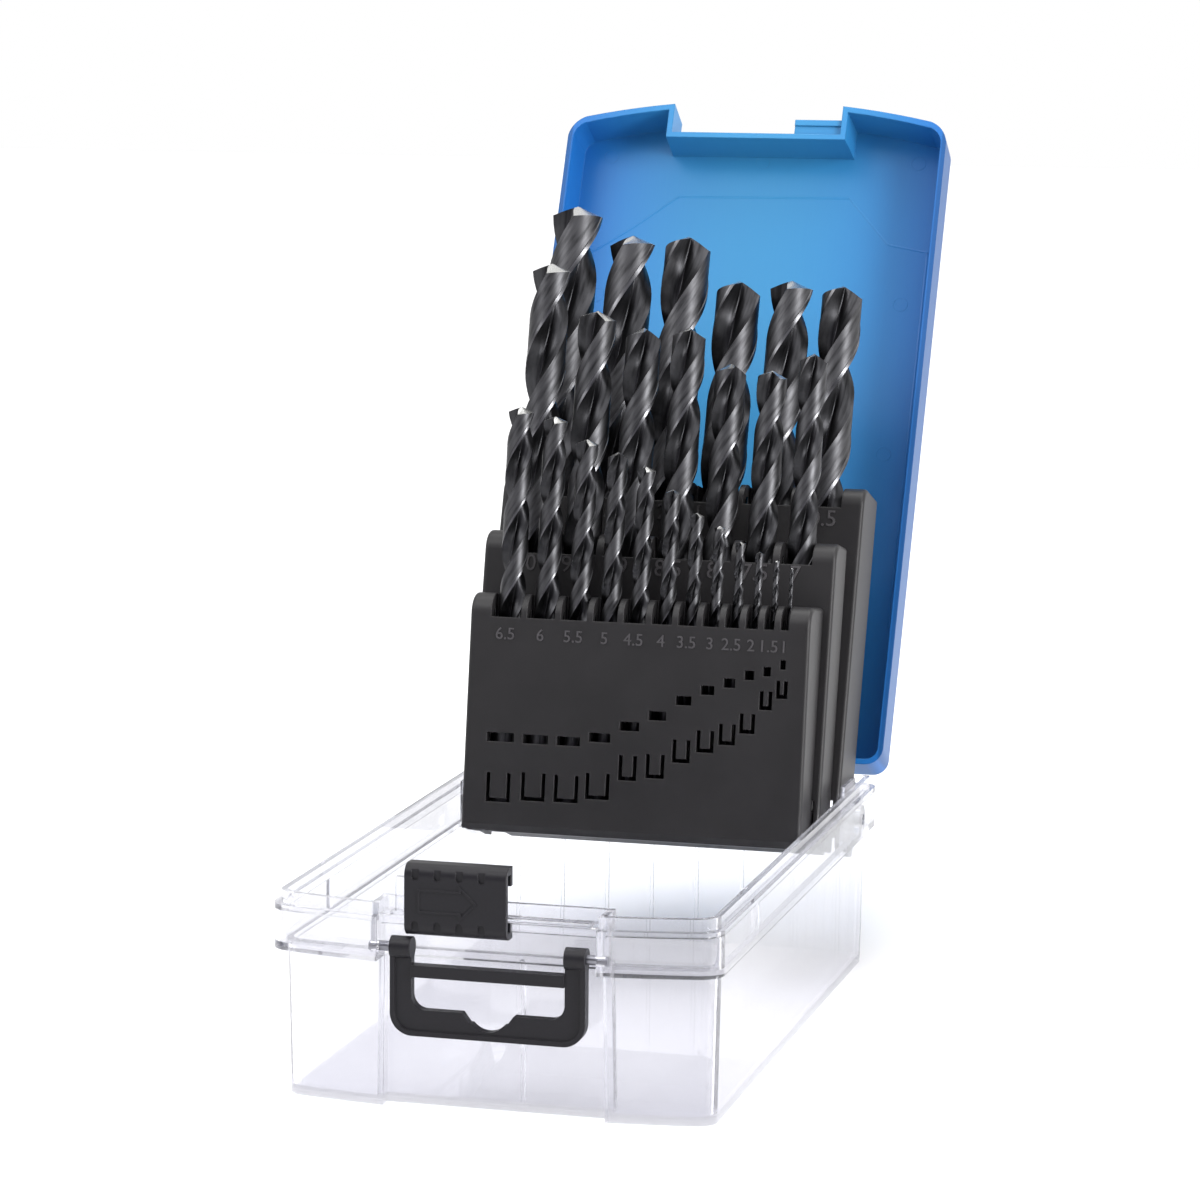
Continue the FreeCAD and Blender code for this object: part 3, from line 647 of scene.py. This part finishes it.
class CASE_OT_racks(bpy.types.Operator):
    """Gives the racks their satin black and adds the raised size numerals under the notches"""
    bl_idname = "case.racks"
    bl_label = "Racks"

    def execute(self, context):
        sizes, colours = context.scene.case_sizes, context.scene.case_colours
        material, raised = black_polypropylene(colours), numeral_plastic(colours)
        for rack, facts in RACKS.items():
            set_material(rack, material)
            place = rack_matrix(rack)
            upright = Matrix.Rotation(math.pi / 2, 4, "X")
            height = sizes.numeral_height * facts["taller"]
            vertices, faces = [], []
            for x, drill in row_places(rack):
                base = facts["deck"] - facts["numerals"]
                letters, shapes = text_mesh(numeral_text(drill[0]), height, sizes.numeral_rise)
                start = len(vertices)
                move = place @ Matrix.Translation((x, -facts["ahead"], base)) @ upright
                vertices += [move @ v for v in letters]
                faces += [tuple(start + i for i in face) for face in shapes]
            new_piece(rack + "_numerals", vertices, faces, rack, [raised])
        return {"FINISHED"}


# Lid

# The inner face in mm, with the lid shut: its height, and the place that the lines are measured from
INNER_FACE = 55.66
LINE_ORIGIN = 87.55

# Moulded marks on it: centres of the rings and the corners of the panel's outline,
# each as a place across and a distance from the origin
RINGS = (
    (-41.7, 168.8), (0.1, 167.9), (42.2, 168.4), (-41.0, 128.9), (41.3, 128.4), (41.0, 86.8), (-41.0, 86.8))
PANEL = (
    (-46.0, 40.0), (-46.0, 139.5), (-33.4, 148.4), (-21.8, 157.6),
    (24.7, 158.1), (36.2, 145.2), (47.0, 143.2), (47.0, 40.0))
RING_RADIUS = 1.9
RING_WIDTH = 0.5
RING_SEGMENTS = 28
LINE_WIDTH = 2.4
RIDGE_SINK = 0.06


def ring_mesh(x, y, z, radius, width, rise, place):
    """Low moulded ring that stands down from the lid's inner face."""
    vertices, faces = [], []
    count = RING_SEGMENTS
    profile = ((radius - width / 2, RIDGE_SINK), (radius, -rise), (radius + width / 2, RIDGE_SINK))
    for index in range(count):
        angle = 2 * math.pi * index / count
        for r, h in profile:
            vertices.append(place @ Vector((x + r * math.cos(angle), y + r * math.sin(angle), z + h)))
    for index in range(count):
        a, b = 3 * index, 3 * ((index + 1) % count)
        for k in range(2):
            faces.append((a + k, a + k + 1, b + k + 1, b + k))
        faces.append((a + 2, a, b, b + 2))
    return vertices, faces


def line_mesh(start, end, z, width, rise, place):
    """Low moulded ridge along a straight line on the lid's inner face."""
    a, b = Vector(start), Vector(end)
    side = (b - a).normalized().orthogonal() * width / 2
    vertices = []
    for end_point in (a, b):
        for offset, height in ((-side, RIDGE_SINK), (Vector((0, 0)), -rise), (side, RIDGE_SINK)):
            p = end_point + offset
            vertices.append(place @ Vector((p.x, p.y, z + height)))
    faces = [(0, 1, 4, 3), (1, 2, 5, 4), (2, 0, 3, 5), (0, 2, 1), (3, 4, 5)]
    return vertices, faces


def set_material(node, material):
    mesh = frame["nodes"][node].data
    mesh.materials.clear()
    mesh.materials.append(material)


class CASE_OT_lid(bpy.types.Operator):
    """Gives the lid its blue and adds the moulded lines and rings inside it"""
    bl_idname = "case.lid"
    bl_label = "Lid"

    def execute(self, context):
        sizes, colours = context.scene.case_sizes, context.scene.case_colours
        material = blue_polypropylene(colours)
        set_material("lid_shell", material)
        place = lid_matrix()
        vertices, faces = [], []

        def add(made):
            start = len(vertices)
            vertices.extend(made[0])
            faces.extend(tuple(start + i for i in face) for face in made[1])

        for x, along in RINGS:
            add(ring_mesh(
                x, LINE_ORIGIN - along, INNER_FACE, RING_RADIUS, RING_WIDTH, sizes.line_rise, place))
        corners = [(x, LINE_ORIGIN - along) for x, along in PANEL]
        for start, end in zip(corners, corners[1:]):
            add(line_mesh(start, end, INNER_FACE, LINE_WIDTH, sizes.line_rise, place))
        new_piece("lid_moulded_lines", vertices, faces, "lid", [material])
        return {"FINISHED"}


class CASE_OT_base(bpy.types.Operator):
    """Gives the base its clear plastic, and the handle, latch and pins their finishes"""
    bl_idname = "case.base"
    bl_label = "Base and fittings"

    def execute(self, context):
        colours = context.scene.case_colours
        set_material("base_shell", clear_polystyrene(colours))
        grip = black_nylon(colours)
        set_material("handle", grip)
        set_material("latch_slider", grip)
        pin = drawn_steel_pin()
        for node in ("handle_pins", "rack_pivot_pins", "hinge_pins"):
            set_material(node, pin)
        return {"FINISHED"}


# Stage

# The room's tone in front of and behind the case, and where it changes along Y
ROOM_FRONT = "#7E7C88"
ROOM_BACK = "#FFFFFF"
ROOM_CHANGE = (-0.6, 0.25)

# Lights and sweep in metres and watts: name, place, size and power of each softbox
SUN_STRENGTH = 1.9
SUN_SPREAD = math.radians(70)
SUN_TILT = math.radians(12)
SOFTBOXES = (
    ("key_softbox", (-0.7, -0.6, 0.9), (0.6, 0.8), 8.0),
    ("right_strip", (0.9, -0.35, 0.35), (0.25, 0.9), 15.0),
    ("top_softbox", (0.1, 0.25, 1.1), (0.8, 0.5), 4.0),
)
SPARES_FLOOR = "right_strip"
LIGHT_TARGET = (0, 0.03, 0.08)
FLOOR_HALF = 4.0

# The camera: its place in mm, its turn to the left, its drop and its roll, the sensor's width in mm,
# and the photograph's width and the column of its lens axis in pixels
CAMERA_PLACE = (249.8, -952.6, 250.3)
CAMERA_TURN = math.radians(15.82)
CAMERA_DROP = math.radians(8.66)
CAMERA_ROLL = math.radians(0.26)
SENSOR_WIDTH = 36.0
IMAGE_WIDTH = 1200.0
AXIS_COLUMN = 512.6


def area_light(name, place, target, size, power):
    light = bpy.data.lights.new(name, "AREA")
    light.shape = "RECTANGLE"
    light.size, light.size_y = size
    light.energy = power
    lamp = bpy.data.objects.new(name, light)
    lamp.location = place
    lamp.rotation_euler = (Vector(target) - Vector(place)).to_track_quat("-Z", "Y").to_euler()
    bpy.context.scene.collection.objects.link(lamp)
    return lamp


def spare(lamp, piece):
    """Keeps a lamp's light off one piece."""
    spared = bpy.data.collections.new(lamp.name + "_spares")
    spared.objects.link(piece)
    spared.collection_objects[0].light_linking.link_state = "EXCLUDE"
    lamp.light_linking.receiver_collection = spared


class CASE_OT_stage(bpy.types.Operator):
    """Sets the white sweep, the studio lights and the camera"""
    bl_idname = "case.stage"
    bl_label = "Stage"

    def execute(self, context):
        scene = context.scene
        half = FLOOR_HALF
        mesh = bpy.data.meshes.new("sweep")
        corners = [(-half, -half, 0), (half, -half, 0), (half, half, 0), (-half, half, 0)]
        mesh.from_pydata(corners, [], [(0, 1, 2, 3)])
        mesh.materials.append(studio_white())
        floor = bpy.data.objects.new("sweep", mesh)
        scene.collection.objects.link(floor)

        self.add_world(scene)
        self.add_lights(scene, floor)
        scene.view_settings.view_transform = "Standard"
        self.add_camera(scene)
        return {"FINISHED"}

    def add_world(self, scene):
        """Room that is white behind the case and a violet grey in front of it."""
        world = bpy.data.worlds.new("studio")
        world.use_nodes = True
        tree = world.node_tree
        way = add_node(tree, "ShaderNodeTexCoord")
        split = add_node(tree, "ShaderNodeSeparateXYZ", {"Vector": way.outputs["Generated"]})
        share = add_node(tree, "ShaderNodeMapRange", {
            "Value": split.outputs["Y"], "From Min": ROOM_CHANGE[0], "From Max": ROOM_CHANGE[1]})
        path = add_node(tree, "ShaderNodeLightPath")
        seen = add_node(tree, "ShaderNodeMath", {
            0: path.outputs["Is Camera Ray"], 1: share.outputs["Result"]}, operation="MAXIMUM")
        room = ramp(tree, seen.outputs[0], [(0.0, linear(ROOM_FRONT)), (1.0, linear(ROOM_BACK))])
        background = tree.nodes["Background"]
        tree.links.new(room, background.inputs["Color"])
        scene.world = world

    def add_lights(self, scene, floor):
        """Silk overhead and three softboxes; the strip on the right doesn't light the floor."""
        sun = bpy.data.lights.new("overhead_silk", "SUN")
        sun.energy = SUN_STRENGTH
        sun.angle = SUN_SPREAD
        silk = bpy.data.objects.new("overhead_silk", sun)
        silk.rotation_euler = (SUN_TILT, 0, 0)
        scene.collection.objects.link(silk)
        for name, place, size, power in SOFTBOXES:
            lamp = area_light(name, place, LIGHT_TARGET, size, power)
            if name == SPARES_FLOOR:
                spare(lamp, floor)

    def add_camera(self, scene):
        """Camera where the photograph was taken from."""
        turn, drop, roll = CAMERA_TURN, CAMERA_DROP, CAMERA_ROLL
        place = Vector(CAMERA_PLACE) * MM
        ahead = Vector((-math.sin(turn) * math.cos(drop), math.cos(turn) * math.cos(drop), -math.sin(drop)))
        right = Vector((math.cos(turn), math.sin(turn), 0))
        up = right.cross(ahead)
        rolled_right = right * math.cos(roll) + up * math.sin(roll)
        rolled_up = up * math.cos(roll) - right * math.sin(roll)
        data = bpy.data.cameras.new("camera")
        data.lens = scene.case_sizes.lens
        data.sensor_width = SENSOR_WIDTH
        data.shift_x = 0.5 - AXIS_COLUMN / IMAGE_WIDTH
        camera = bpy.data.objects.new("camera", data)
        camera.matrix_world = (
            Matrix.Translation(place) @ Matrix((rolled_right, rolled_up, -ahead)).transposed().to_4x4())
        scene.collection.objects.link(camera)
        scene.camera = camera


class CASE_PT_panel(bpy.types.Panel):
    """Lists the case's sizes, colours and pieces"""
    bl_idname = "CASE_PT_panel"
    bl_label = "Drill Bit Case"
    bl_space_type = "VIEW_3D"
    bl_region_type = "UI"
    bl_category = "Case"

    def draw(self, context):
        for group in (context.scene.case_sizes, context.scene.case_colours):
            for name in group.__annotations__:
                self.layout.prop(group, name)
        for operator in OPERATORS:
            self.layout.operator(operator.bl_idname)


OPERATORS = (CASE_OT_base, CASE_OT_lid, CASE_OT_racks, CASE_OT_drills, CASE_OT_stage)
CLASSES = (CaseSizes, CaseColours, *OPERATORS, CASE_PT_panel)


def register():
    for cls in CLASSES:
        bpy.utils.register_class(cls)
    bpy.types.Scene.case_sizes = bpy.props.PointerProperty(type=CaseSizes)
    bpy.types.Scene.case_colours = bpy.props.PointerProperty(type=CaseColours)


def unregister():
    del bpy.types.Scene.case_colours
    del bpy.types.Scene.case_sizes
    for cls in reversed(CLASSES):
        bpy.utils.unregister_class(cls)


def main():
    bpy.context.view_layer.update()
    register()
    bpy.ops.case.base()
    bpy.ops.case.lid()
    bpy.ops.case.racks()
    bpy.ops.case.drills()
    bpy.ops.case.stage()


if __name__ == "__main__":
    main()
